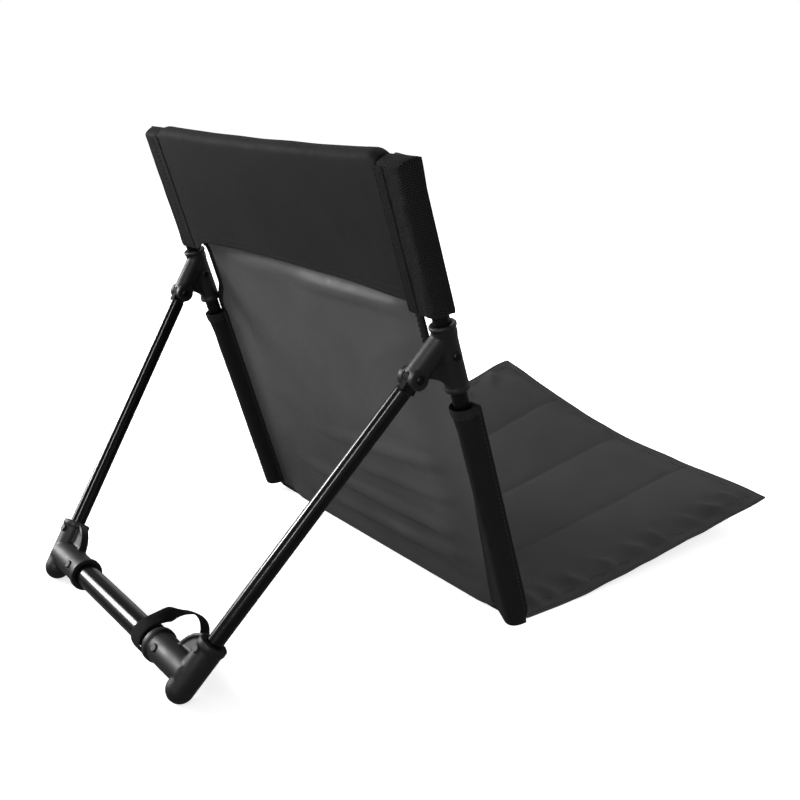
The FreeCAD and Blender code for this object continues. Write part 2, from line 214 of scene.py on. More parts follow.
def flowing(points, count):
    """A smooth curve through a few chosen points."""
    points = np.asarray(points)
    ends = np.vstack([2 * points[0] - points[1], points, 2 * points[-1] - points[-2]])
    pieces = []
    for i in range(1, len(ends) - 2):
        a, b, c, d = ends[i - 1:i + 3]
        t = np.linspace(0.0, 1.0, 24, endpoint=False)[:, None]
        pieces.append(0.5 * (2 * b + (c - a) * t + (2 * a - 5 * b + 4 * c - d) * t ** 2
                             + (3 * b - a - 3 * c + d) * t ** 3))
    return even(np.vstack(pieces + [points[-1:]]), count)


def unit(vectors):
    return vectors / np.maximum(np.linalg.norm(vectors, axis=-1, keepdims=True), 1e-9)


# Height of a tape's middle, as a share of its half thickness
BAND_BULGE = 1.2


def band(name, path, faces_to, width, thick, material):
    """A flat tape along a path. faces_to gives the outward direction at each point."""
    heading = unit(np.gradient(path, axis=0))
    side = unit(np.cross(heading, faces_to))
    out = np.cross(side, heading)
    half = np.broadcast_to(width, len(path)) / 2.0
    deep = thick / 2.0
    section = [(-1, 0.0, 0.0), (-1, deep, -deep), (1, -deep, -deep), (1, 0.0, 0.0), (1, -deep, deep),
               (0, 0.0, deep * BAND_BULGE), (-1, deep, deep)]
    across = np.array([[edge * h + inset for edge, inset, _ in section] for h in half])
    height = np.array([lift for _, _, lift in section])
    points = path[:, None] + side[:, None] * across[..., None] + out[:, None] * height[None, :, None]
    uv = pairs(across, along_path(path)[:, None])
    tape = make_object(name, points, ring_faces(len(path), len(section)), uv, material)
    soften(tape)
    return tape


STITCH_LONG = 3.0
STITCH_PITCH = 4.2
STITCH_R = 0.33
STITCH_SIDES = 5
# Places along a stitch and its thickness there, as shares of the whole
STITCH_SHAPE = [(-0.36, 0.85), (0.0, 1.0), (0.36, 0.85)]


def add_stitch(points, faces, tail, head, lift):
    """Adds one stitch between two points: round, and pointed at both ends."""
    ahead = unit(head - tail)
    side = np.cross(ahead, lift)
    centre = (head + tail) / 2.0
    start = len(points)
    size = STITCH_SIDES
    for along, wide in STITCH_SHAPE:
        for a in np.linspace(0.0, math.tau, size + 1)[:-1]:
            off = (side * math.cos(a) + lift * math.sin(a)) * STITCH_R * wide
            points.append(centre + ahead * along * STITCH_LONG + off)
    points += [centre - ahead * STITCH_LONG * 0.5, centre + ahead * STITCH_LONG * 0.5]
    last = len(STITCH_SHAPE) - 1
    faces += [tuple(start + i for i in face) for face in grid_faces(last + 1, size, around=True)]
    for c in range(size):
        d = (c + 1) % size
        faces.append((start + d, start + c, len(points) - 2))
        faces.append((start + last * size + c, start + last * size + d, len(points) - 1))


def stitches(name, lines, material):
    """Rows of thread lying on cloth. Each line is (path, outward directions)."""
    points, faces = [], []
    for path, out in lines:
        far = along_path(path)
        count = int(far[-1] / STITCH_PITCH)
        for k in range(count):
            where = (k + 0.5) * far[-1] / count
            ends = [where - STITCH_LONG / 2.0, where + STITCH_LONG / 2.0]
            tail, head = places(ends, far, path)
            add_stitch(points, faces, tail, head, unit(places(where, far, out)))
    return make_object(name, points, faces, None, material)


# Materials

class Nodes:
    """A tree of shading nodes, with short calls to add and join them."""

    def __init__(self, tree):
        self.tree = tree

    def put(self, socket, value):
        if isinstance(value, bpy.types.NodeSocket):
            self.tree.links.new(value, socket)
        else:
            socket.default_value = value

    def node(self, kind, values=(), **settings):
        made = self.tree.nodes.new("ShaderNode" + kind)
        for key, value in settings.items():
            setattr(made, key, value)
        for key, value in dict(values).items():
            self.put(made.inputs[key], value)
        return made

    def math(self, operation, a, b=0.0):
        return self.node("Math", {0: a, 1: b}, operation=operation).outputs[0]

    def plus(self, a, b):
        return self.math("ADD", a, b)

    def times(self, a, b):
        return self.math("MULTIPLY", a, b)

    def spread(self, value, low, high, to_low, to_high):
        values = {0: value, 1: low, 2: high, 3: to_low, 4: to_high}
        return self.node("MapRange", values).outputs[0]


class Look(Nodes):
    """A procedural material in the making."""

    def __init__(self, name):
        self.material = bpy.data.materials.new(name)
        self.material.use_nodes = True
        super().__init__(self.material.node_tree)
        self.shader = self.tree.nodes["Principled BSDF"]

    def set(self, **values):
        for key, value in values.items():
            self.put(self.shader.inputs[key.replace("_", " ")], value)

    def cloth_place(self):
        at = self.node("UVMap", uv_map="cloth").outputs[0]
        parts = self.node("SeparateXYZ", {0: at})
        return at, parts.outputs[0], parts.outputs[1]

    def object_place(self):
        return self.node("TexCoord").outputs["Object"]

    def wave(self, place, pitch):
        """Sine of a length in metres, from -1 to 1."""
        return self.math("SINE", self.times(place, math.tau / (pitch * MM)))

    def noise(self, place, size, detail=3.0, rough=0.55):
        values = {"Vector": place, "Scale": 1.0 / (size * MM), "Detail": detail, "Roughness": rough}
        return self.node("TexNoise", values).outputs[0]

    def shade(self, share, dark, light):
        """Grey between a dark and a light tone."""
        mix = self.node("Mix", data_type="RGBA")
        values = {("Factor", "VALUE"): share, ("A", "RGBA"): (dark, dark, dark, 1.0),
                  ("B", "RGBA"): (light, light, light, 1.0)}
        for socket in mix.inputs:
            if (socket.name, socket.type) in values:
                self.put(socket, values[socket.name, socket.type])
        return [s for s in mix.outputs if s.type == "RGBA"][0]

    def bump(self, height, strength, depth):
        values = {"Strength": strength, "Distance": depth * MM, "Height": height}
        self.put(self.shader.inputs["Normal"], self.node("Bump", values).outputs[0])


def woven(name, tone, pitch, contrast, relief, rough, sheen):
    """Plain-weave cloth, with slow tonal drift and a little wear."""
    look = Look(name)
    fade = 0.12
    at, u, v = look.cloth_place()
    weave = look.times(look.wave(u, pitch), look.wave(v, pitch))
    slub = look.noise(at, 9.0, 4.0)
    drift = look.noise(at, 70.0, 2.0)
    mixed = look.times(weave, 0.5 * contrast)
    mixed = look.plus(mixed, look.times(drift, 2.0 * fade))
    mixed = look.plus(mixed, look.times(slub, fade))
    share = look.spread(mixed, -0.5 * contrast + fade, 0.5 * contrast + 2.0 * fade, 0.0, 1.0)
    look.set(Base_Color=look.shade(share, tone * (1.0 - contrast), tone * (1.0 + contrast)))
    look.set(Roughness=look.spread(slub, 0.3, 0.7, rough - 0.06, rough + 0.06))
    look.set(Sheen_Weight=sheen, Sheen_Roughness=0.45, Specular_IOR_Level=0.02)
    threads = look.plus(look.times(weave, 0.5), look.times(slub, 0.6))
    look.bump(threads, relief, 0.25)
    return look.material


def coated(name, tone):
    """Smooth coated rear face of the panel, with the weave showing faintly through, and painted shade that
    darkens it towards its foot.
    """
    look = Look(name)
    at, u, v = look.cloth_place()
    weave = look.times(look.wave(u, 0.9), look.wave(v, 0.9))
    cloud = look.noise(at, 55.0, 4.0)
    crease = look.noise(at, 7.0, 5.0, 0.65)
    share = look.spread(look.plus(cloud, look.times(crease, 0.35)), 0.45, 0.95, 0.0, 1.0)
    cloth = look.shade(share, tone * 0.88, tone * 1.1)
    # Painted shade: over the lowest 16 cm the panel's colour is scaled down to 0.55 of its tone.
    painted_shade_low = look.spread(v, 0.0, 0.16, 0.55, 1.0)
    look.set(Base_Color=look.node("VectorMath", {0: cloth, "Scale": painted_shade_low}, operation="SCALE").outputs[0])
    look.set(Roughness=look.spread(crease, 0.3, 0.7, 0.46, 0.62), Specular_IOR_Level=0.05)
    look.bump(look.plus(look.times(weave, 0.25), crease), 0.12, 0.3)
    return look.material


def air_mesh(name, tone, pitch):
    """Knitted spacer mesh: rounded eyelets in a honeycomb."""
    look = Look(name)
    at, u, v = look.cloth_place()
    slant_a = look.plus(look.times(u, 0.5), look.times(v, 0.866))
    slant_b = look.math("SUBTRACT", look.times(u, 0.5), look.times(v, 0.866))
    waves = [look.math("COSINE", look.times(w, math.tau / (pitch * 0.866 * MM)))
             for w in (u, slant_a, slant_b)]
    honey = look.plus(look.plus(waves[0], waves[1]), waves[2])
    strand = look.spread(honey, 0.9, -0.4, 0.0, 1.0)
    yarn = look.times(look.wave(u, 0.5), look.wave(v, 0.7))
    share = look.plus(strand, look.times(yarn, 0.1))
    look.set(Base_Color=look.shade(share, tone * 0.12, tone * 1.25))
    look.set(Roughness=0.7, Sheen_Weight=0.01, Specular_IOR_Level=0.02)
    look.bump(look.plus(strand, look.times(yarn, 0.15)), 0.7, 0.9)
    return look.material


def webbing(name, tone):
    """Narrow woven tape with cross ribs and a slight fuzz."""
    look = Look(name)
    at, u, v = look.cloth_place()
    zigzag = look.plus(v, look.times(look.wave(u, 2.6), 0.00025))
    rib = look.wave(zigzag, 1.3)
    fuzz = look.noise(at, 1.2, 4.0)
    share = look.spread(look.plus(look.times(rib, 0.3), fuzz), 0.2, 0.9, 0.0, 1.0)
    look.set(Base_Color=look.shade(share, tone * 0.65, tone * 1.5))
    look.set(Roughness=0.72, Sheen_Weight=0.01, Sheen_Roughness=0.5, Specular_IOR_Level=0.02)
    look.bump(look.plus(rib, fuzz), 0.5, 0.3)
    return look.material


def gloss_tube(name, tone):
    """Black coated tube: a clear gloss with fine handling marks."""
    look = Look(name)
    at = look.object_place()
    marks = look.noise(at, 6.0, 6.0, 0.7)
    haze = look.noise(at, 45.0, 2.0)
    look.set(Base_Color=look.shade(haze, tone * 0.8, tone * 1.25))
    look.set(Roughness=look.spread(marks, 0.35, 0.7, 0.14, 0.24), Specular_IOR_Level=0.1)
    look.bump(marks, 0.03, 0.1)
    return look.material


def moulded_plastic(name, tone, rough, gloss):
    """Moulded black plastic: fine grain, and edges rubbed a little lighter."""
    look = Look(name)
    at = look.object_place()
    grain = look.noise(at, 0.7, 3.0)
    cloud = look.noise(at, 14.0, 3.0)
    edge = look.node("NewGeometry").outputs["Pointiness"]
    rub = look.spread(look.plus(edge, look.times(cloud, 0.03)), 0.53, 0.6, 0.0, 1.0)
    look.set(Base_Color=look.shade(rub, tone, tone * 2.6))
    look.set(Roughness=look.spread(cloud, 0.3, 0.7, rough - 0.05, rough + 0.07), Specular_IOR_Level=gloss)
    look.bump(grain, 0.1, 0.12)
    return look.material


def dark_metal(name, tone):
    """Blackened rivet steel with worn crowns."""
    look = Look(name)
    wear = look.noise(look.object_place(), 2.0, 4.0)
    look.set(Base_Color=look.shade(wear, tone * 0.6, tone * 1.7))
    look.set(Metallic=1.0, Roughness=look.spread(wear, 0.3, 0.7, 0.4, 0.55))
    look.bump(wear, 0.05, 0.1)
    return look.material


SEAT_CLOTH = woven("seat cloth", 0.037, 0.9, 0.35, 0.35, 0.7, 0.01)
POCKET_CLOTH = woven("pocket cloth", 0.0095, 0.9, 0.35, 0.35, 0.72, 0.01)
SLEEVE_CLOTH = woven("sleeve cloth", 0.006, 0.7, 0.4, 0.3, 0.72, 0.01)
PANEL_COAT = coated("coated panel", 0.045)
GUSSET_MESH = air_mesh("air mesh", 0.009, 2.0)
TAPE = webbing("edge tape", 0.0045)
STRAP_WEB = webbing("strap webbing", 0.006)
THREAD = woven("thread", 0.02, 0.4, 0.3, 0.2, 0.6, 0.02)
TUBE = gloss_tube("gloss black tube", 0.003)
PLASTIC = moulded_plastic("moulded plastic", 0.006, 0.5, 0.1)
# The knuckles are real parts, but their darker, duller plastic is painted shade, standing in for the
# shadow inside the mouths of the hubs' arms.
KNUCKLE_PAINTED_SHADE = moulded_plastic("knuckle plastic", 0.003, 0.6, 0.02)
CAP = moulded_plastic("cap plastic", 0.008, 0.5, 0.1)
RIVET = dark_metal("blackened steel", 0.008)


def dress(thing, body, slot, *nodes):
    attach(thing, body)
    if nodes:
        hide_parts(*nodes)
    return thing


# Shape of the cloth back, as distances in front of the pole axes

WRINKLES = [
    # x and s of both ends, half width, height towards the rear
    (-60.0, 106.0, 175.0, 133.0, 7.0, 4.6),
    (-20.0, 84.0, 175.0, 98.0, 5.5, 3.6),
    (-110.0, 51.0, 178.0, 60.0, 6.8, 5.8),
    (-90.0, 17.0, 178.0, 36.0, 6.2, 5.4),
    (-160.0, 14.0, 60.0, 10.0, 7.0, 2.4),
    (20.0, 30.0, 168.0, 14.0, 6.0, 2.8),
    (-165.0, 150.0, -60.0, 118.0, 11.0, 1.3),
    (60.0, 205.0, 160.0, 250.0, 10.0, 1.2),
    (-150.0, 270.0, 175.0, 271.0, 7.5, 2.0),
    (-10.0, 269.0, 185.0, 272.0, 7.0, 3.0),
]
# The panel is held from here outwards, and hangs a little slack between
HELD_AT = 168.0
HELD_FADE = 45.0
SLACK = 4.5
# Behind the hood the panel lies further forward than below its hem
EMERGE_LONG = 20.0
EMERGE_PAST = 8.0
EMERGE_DEEP = 10.0
# The hood's upper edge: its turn to the front, its rise over the sleeves, its sag and its lap
TOP_TURN = 7.0
TOP_RAISED = 5.0
TOP_SAG = 2.9
TOP_LAP = 9.0
# How far the hood's hem is drawn in towards the panel
HOOD_DRAWN = 5.5


def wrinkle_height(x, s):
    """How far the folds of the panel stand out towards the rear."""
    total = np.zeros(np.broadcast(x, s).shape)
    for x0, s0, x1, s1, wide, high in WRINKLES:
        long = math.hypot(x1 - x0, s1 - s0)
        along = ((x - x0) * (x1 - x0) + (s - s0) * (s1 - s0)) / long ** 2
        off = ((x - x0) * (s1 - s0) - (s - s0) * (x1 - x0)) / long
        ends = ramp(along, -0.12, 0.25) * ramp(along, 1.06, 0.75)
        total += high * ends * np.exp(-(off / wide) ** 2)
    return total


def panel_n(x, s):
    """Middle of the front panel: held at the sleeves, a little slack between them."""
    x, s = np.broadcast_arrays(x, s)
    free = ramp(HELD_AT - np.abs(x), 0.0, HELD_FADE)
    free_low = free * ramp(s, -4.0, 30.0)
    emerging = np.clip((s - HOOD_HEM + EMERGE_LONG) / (EMERGE_LONG + EMERGE_PAST), 0.0, 1.0)
    lean = 0.7 + 0.3 * x / SEAM_X
    joining = ramp(s, TOP_S - 2.5 * TOP_TURN, HOOD_HEM + EMERGE_PAST)
    ridge = EMERGE_DEEP * lean * emerging ** 1.5 * joining
    slack = SLACK * free_low * np.sin(np.clip(s / NOTCH_HIGH, 0.0, 1.0) * math.pi) ** 0.7
    soft = 0.4 * ripples(x, s, 60.0, 4) * free_low
    return PANEL_N + ridge * free - slack - wrinkle_height(x, s) * free_low + soft


def top_edge(x):
    """Height of the hood's upper fold, raised above the sleeves and sagging between them."""
    across = np.clip(np.abs(x) / SEAM_X, 0.0, 1.0)
    lean = 0.9 * x / SEAM_X
    raised = TOP_RAISED * ramp(SEAM_X - np.abs(x), -2.0, 9.0)
    sag = TOP_SAG * (1.0 - across ** 2.4)
    return TOP_S + raised + lean - sag - 0.3 * ripples(x, 0.0, 90.0, 8)


# How far the cloth reaches beyond the pole axes, below and above the notches
EDGE_LOW = 13.5
EDGE_HIGH = 9.8
# How much narrower the cloth is at the fold, and wider at the top
FOOT_DRAWN = 8.0
TOP_WIDER = 2.5


def edge_half(s):
    """Half the width of the back's cloth at each height."""
    low = POLE_X + EDGE_LOW - FOOT_DRAWN * (1.0 - ramp(s, FOLD_S, 16.0))
    high = POLE_X + EDGE_HIGH + TOP_WIDER * ramp(s, TOP_S - 30.0, TOP_S)
    return np.where(s > (NOTCH_LOW + NOTCH_HIGH) / 2.0, high, low)


def pocket_n(x, s):
    """Middle of the hood's rear layer: taut at the top and sides, drawn in at its open hem."""
    x, s = np.broadcast_arrays(x, s)
    free = ramp(SEAM_X - np.abs(x), 0.0, 110.0)
    drop = ramp(TOP_S - 6.0 - s, 0.0, TOP_S - HOOD_HEM)
    soft = 0.35 * ripples(x, s, 75.0, 12) * ramp(SEAM_X - np.abs(x), 0.0, 30.0)
    return POCKET_N + HOOD_DRAWN * free * drop + soft


def lines_between(low, high, step):
    return np.linspace(low, high, max(2, int(round((high - low) / step)) + 1))


# Size of the cells that cloth is divided into
CELL = 4.0
# The notches: rounded upper corners, slanting lower ends, and how far the left one is shut
CORNER = 2 * CELL
SLANT_WIDE = 25.0
SLANT_HIGH = 30.0
LEFT_SHUT = 15.0
# The panel's foot: where it starts to turn under, how far it swings back and how far it drops
CURL_FROM = 14.0
CURL_R = 4.6
CURL_DROP = 2.6


def curl_under(n, s, share):
    """Bends the panel's lowest stretch rearwards and under, as slack cloth settles on the ground."""
    t = np.clip((CURL_FROM - s) / (CURL_FROM - FOLD_S), 0.0, 1.0)
    swing = t * math.pi * 1.05
    back_n = -CURL_R * 0.75 * (1.0 - np.cos(swing)) * ramp(t, 1.25, 0.55)
    down_s = -CURL_DROP * np.sin(t * math.pi * 0.75)
    return n + back_n * share, s + down_s * share * ramp(t, 0.0, 0.6)


def drawn_shut(x, s):
    """Moves the left notch's inner edge towards its pole, where slack cloth hangs nearly shut."""
    tall = ramp(s, NOTCH_LOW - 16.0, NOTCH_LOW + 12.0) * ramp(s, NOTCH_HIGH + 14.0, NOTCH_HIGH - 4.0)
    near = ramp(-x, NOTCH_IN - 60.0, NOTCH_IN) * ramp(-x, HALF_BACK - 5.0, NOTCH_IN + 8.0)
    return x - LEFT_SHUT * tall * near


def panel_lines():
    """Grid lines of the panel across and along, and the row at the notches' upper end."""
    inner = lines_between(-NOTCH_IN, NOTCH_IN, CELL)
    wing = lines_between(NOTCH_IN, HALF_BACK, CELL)[1:]
    low = lines_between(FOLD_S + 0.5, NOTCH_LOW, CELL)
    mid = lines_between(NOTCH_LOW + CORNER, NOTCH_HIGH - CORNER, CELL)
    high = lines_between(NOTCH_HIGH, TOP_S - TOP_TURN, CELL)
    x_lines = np.concatenate([-wing[::-1], inner, wing])
    s_lines = np.concatenate([low, [NOTCH_LOW + CELL], mid, [NOTCH_HIGH - CELL], high])
    return x_lines, s_lines, len(s_lines) - len(high)


def panel_cells(x_lines, s_lines):
    """Which cells of the panel's grid are cloth: all but the notches, whose lower ends slant."""
    near = 0.1
    keep = np.ones((len(s_lines) - 1, len(x_lines) - 1), bool)
    in_notch = (s_lines[:-1] > NOTCH_LOW - near) & (s_lines[1:] < NOTCH_HIGH + near)
    outside = (x_lines[1:] < near - NOTCH_IN) | (x_lines[:-1] > NOTCH_IN - near)
    keep[np.ix_(in_notch, outside)] = False
    cell_x = np.abs(x_lines[:-1] + x_lines[1:]) / 2.0 - NOTCH_IN
    cell_s = (s_lines[:-1] + s_lines[1:]) / 2.0 - NOTCH_LOW
    slant = cell_x / SLANT_WIDE + cell_s[:, None] / SLANT_HIGH < 1.0
    return keep | slant & (cell_s > 0.0)[:, None]


def round_corner(side, top, x, s, keep):
    """Rounds a notch's upper corner, and returns the two small faces that fill it."""
    columns = [int(np.argmin(np.abs(x[0] - side * (NOTCH_IN + k * CELL)))) for k in range(3)]
    diagonal = CORNER * math.sqrt(0.5)
    x[top - 1, columns[1]] = side * (NOTCH_IN + CORNER - diagonal)
    s[top - 1, columns[1]] = s[top - 2, 0] + diagonal
    keep[top - 1, min(columns[:2])] = True
    wide = x.shape[1]
    arc = (top - 1) * wide + columns[1]
    edge = [top * wide + columns[k] for k in (1, 2)]
    rise = [(top - k) * wide + columns[0] for k in (1, 2)]
    faces = [(edge[0], edge[1], arc), (rise[0], arc, rise[1])]
    return faces if side < 0 else [face[::-1] for face in faces]


def build_panel():
    """Front layer of the back, notched beside each hub and turned under at its foot."""
    x_lines, s_lines, top = panel_lines()
    x, s = np.meshgrid(x_lines, s_lines)
    keep = panel_cells(x_lines, s_lines)
    corners = round_corner(-1, top, x, s, keep) + round_corner(1, top, x, s, keep)
    beyond = (np.abs(x) - NOTCH_IN) / (HALF_BACK - NOTCH_IN)
    wings = np.sign(x) * (NOTCH_IN + np.maximum(beyond, 0.0) * (edge_half(s) - NOTCH_IN))
    x = drawn_shut(np.where(beyond > 0.0, wings, x), s)
    stretch = np.clip((s - NOTCH_HIGH) / (TOP_S - TOP_TURN - NOTCH_HIGH), 0.0, 1.0)
    s = s + stretch * (top_edge(x) - TOP_S) * ramp(POLE_X - np.abs(x), 4.0, 16.0)
    s = s + stretch * (TOP_TURN + 0.6) * ramp(np.abs(x), SEAM_X - 2.0, SEAM_X + 3.0)
    uv = pairs(x, s)
    slump = ramp(HELD_AT - np.abs(x), 0.0, 25.0)
    n, s = curl_under(panel_n(x, s), s, slump)
    faces = grid_faces(len(s_lines), len(x_lines), keep=keep) + corners
    panel = make_object("back_cloth", on_back(x, n, s), faces, uv, PANEL_COAT)
    thicken(panel, CLOTH, SEAT_CLOTH)
    return dress(panel, "back", "panel_cloth", "back_panel")


WELT_R = 3.1
WELT_ENDS = (1.2, 2.7)
WELT_SHORT = 12.0


def build_welt():
    """Rolled seam along the fold between back and seat."""
    half = HALF_BACK - WELT_SHORT
    x = lines_between(-half, half, 6.0)
    angle = np.linspace(0.0, math.tau, 13)[:-1]
    swell = WELT_R + 0.18 * ripples(x, 0.0, 28.0, 21)
    swell[[0, -1]], swell[[1, -2]] = WELT_ENDS
    ring = np.cos(angle)[:, None] * AHEAD + np.sin(angle)[:, None] * ABOVE
    points = FOLD + x[:, None, None] * RIGHT + swell[:, None, None] * ring
    uv = pairs(x[:, None], WELT_R * angle)
    welt = make_object("fold_welt", points, ring_faces(len(x), len(angle)), uv, SLEEVE_CLOTH)
    soften(welt)
    return dress(welt, "back", "sleeve_cloth")


def build_pocket():
    """Rear layer of the hood, turned over the top and lapped onto the front."""
    x_lines = lines_between(-SEAM_X, SEAM_X, CELL)
    edge = top_edge(x_lines)
    hem = HOOD_HEM - (HOOD_HEM - NOTCH_HIGH) * ramp(-x_lines, SEAM_X - 24.0, SEAM_X - 6.0)
    share = lines_between(0.0, 1.0, CELL / (TOP_S - TOP_TURN - HOOD_HEM))[:, None]
    rear_s = hem + share * (edge - TOP_TURN - hem)
    rear_n = pocket_n(x_lines, rear_s)
    front = PANEL_N + CLOTH + 0.15
    turn = np.linspace(0.0, math.pi, 11)[1:-1, None]
    turn_s = edge - TOP_TURN + TOP_TURN * np.sin(turn) ** 0.75
    turn_n = (rear_n[-1] + front) / 2.0 - (front - rear_n[-1]) / 2.0 * np.cos(turn)
    lap_s = edge - TOP_TURN - TOP_LAP * np.linspace(0.0, 1.0, 3)[:, None]
    s = np.vstack([rear_s, turn_s, lap_s])
    n = np.vstack([rear_n, turn_n, np.full(lap_s.shape, front)])
    x = np.broadcast_to(x_lines, s.shape)
    points = on_back(x, n, s)
    far = along_path(points)
    pocket = make_grid("hood_cloth", points, pairs(x, far), POCKET_CLOTH)
    thicken(pocket, CLOTH)
    return dress(pocket, "back", "pocket_cloth", "pocket_panel")


def touching(point, radius, turn):
    """Angle at which a line from a point outside touches a circle round the origin."""
    swing = math.acos(radius / math.hypot(*point)) * turn
    return math.atan2(point[1], point[0]) + swing


# Radius of the sleeves' cloth round the poles, and how far the upper ones lap under the hood
SLEEVE_R = TUBE_R + 0.3 + CLOTH / 2.0 + 0.25
HOOD_LAP = 6.0
SECTION_POINTS = 34
# Length of a sleeve's rounded closed end, and of its widening open end
SHUT_LONG = 3.4
MOUTH_LONG = 26.0


def sleeve_section(upper, inner, outer):
    """Centre line of a sleeve's cloth round its pole, from its inner edge to its outer one, as (x, n)."""
    level = PANEL_N - CLOTH
    last = (max(outer - 3.0, SLEEVE_R + 0.6), level)
    leave = touching(last, SLEEVE_R, -1)
    if upper:
        start = [(inner, POCKET_N + CLOTH + 0.2), (inner + HOOD_LAP, POCKET_N + CLOTH),
                 (inner + 2.0 * HOOD_LAP, POCKET_N - 0.1)]
        angles = np.linspace(-math.pi * 0.56, leave, 18)
    else:
        meet = (inner + 3.0, level)
        start = [(inner, level), meet]
        angles = np.linspace(touching(meet, SLEEVE_R, 1) - math.tau, leave, 24)
    arc = [(SLEEVE_R * math.cos(a), SLEEVE_R * math.sin(a)) for a in angles]
    return rounded(even(np.array(start + arc + [last, (outer, level)]), SECTION_POINTS), 4)


def build_sleeve(word, side, upper, low, high, material, flare, inner):
    """A strip of cloth over one pole, closed at one end and open, with a hem, at the notch."""
    name = word + ("_upper" if upper else "_lower")
    shut, mouth = (high, low) if upper else (low, high)
    ends = shut + np.sign(mouth - shut) * np.array([0.0, 0.5, 1.4, 2.6])
    rows = np.unique(np.round(np.concatenate([lines_between(low, high, CELL), ends]), 3))
    inners = inner[0] + (inner[1] - inner[0]) * (rows - low) / (high - low)
    outers = edge_half(rows) - POLE_X + 1.0
    sections = np.array([sleeve_section(upper, i, o) for i, o in zip(inners, outers)])
    x, n = sections[..., 0], sections[..., 1]
    s = np.broadcast_to(rows[:, None], x.shape)
    level = PANEL_N - CLOTH
    depth = np.sqrt(1.0 - (1.0 - np.abs(rows - shut) / SHUT_LONG).clip(0.0, 1.0) ** 2)
    n = level + (n - level) * depth[:, None]
    open_end = ramp(np.abs(rows - mouth), MOUTH_LONG, 0.0)[:, None]
    off = np.hypot(x, n)
    round_share = ramp(9.5 - off, 0.0, 1.2) * ramp(n, 5.0, 1.0)
    grow = 1.0 + open_end * flare * round_share / np.maximum(off, 1.0)
    loose = 2.0 if upper else 1.0
    creases = 0.32 * ripples(x * 2.2, s, 34.0, 31 + side) + 0.25 * ripples(x * 3.0, s, 12.0, 41 + side)
    grow = grow + creases * loose * ramp(level - n, 0.6, 4.0) * 0.5 / np.maximum(off, 1.0)
    points = on_back(side * (POLE_X + x * grow), n * grow, s)
    across = along_path(sections[len(rows) // 2])
    sleeve = make_grid(name + "_cover", points, pairs(across, s), material)
    thicken(sleeve, CLOTH, SLEEVE_CLOTH)
    return dress(sleeve, "back", "sleeve_cloth", name + "_sleeve"), points


# Seat

SEAT_FRONT = reach("seat_top_cover", AHEAD)[1]
SEAT_REAR = FOLD[1] + 2.9
SEAT_HALF_REAR = reach("seat_top_cover", RIGHT)[1] - 12.0
SEAT_HALF_FRONT = SEAT_HALF_REAR + 5.0
SEAT_FLAT_END = SEAT_REAR + 48.0
REAR_LIFT = 2.3
# Height of the front edge at five places from left to right
FRONT_RISE = [88.0, 63.0, 44.0, 36.5, 31.0]
# Sewn channels, and the thickness at the hem, at the seams and between them
CHANNELS = 4
HEM_WIDE = 13.0
HEM_THICK = 2.2
SEAM_THICK = 3.2
CROWN = 6.4
LEAST_THICK = 0.9
GROOVE = 0.6
GROOVE_WIDE = 2.4
# Gathers of the side hems and of the front hem: their spacing and height
PUCKER_STEP = 34.0
PUCKER_HIGH = 6.0
FRONT_PUCKER_STEP = 31.0
FRONT_PUCKER_HIGH = 0.5


def seat_half(y):
    share = (y - SEAT_REAR) / (SEAT_FRONT - SEAT_REAR)
    return SEAT_HALF_REAR + (SEAT_HALF_FRONT - SEAT_HALF_REAR) * share


def seat_floor(x, y):
    """Height of the seat's underside: flat behind, rising to a front edge that curls up on the left."""
    across = np.linspace(-1.0, 1.0, len(FRONT_RISE))
    curve = np.polyfit(across, FRONT_RISE, len(FRONT_RISE) - 1)
    rise = np.polyval(curve, np.clip(x / seat_half(y), -1.0, 1.0))
    t = np.clip((y - SEAT_FLAT_END) / (SEAT_FRONT - SEAT_FLAT_END), 0.0, 1.0)
    ease = 0.02
    straight = (np.sqrt(t * t + ease) - math.sqrt(ease)) / (math.sqrt(1.0 + ease) - math.sqrt(ease))
    curled = 0.6 * ramp(-x, -50.0, 150.0)
    return rise * (straight + (ramp(t, 0.0, 1.0) - straight) * curled)


def puckers(along, seed, spacing):
    """Little gathers, unevenly spaced along a sewn edge."""
    draw = np.random.default_rng(seed)
    total = np.zeros(np.shape(along))
    at = float(np.min(along)) - spacing
    while at < np.max(along) + spacing:
        at += spacing * draw.uniform(0.6, 1.35)
        total += draw.uniform(0.5, 1.0) * np.exp(-((along - at) / (spacing * 0.22)) ** 2)
    return total - 0.3


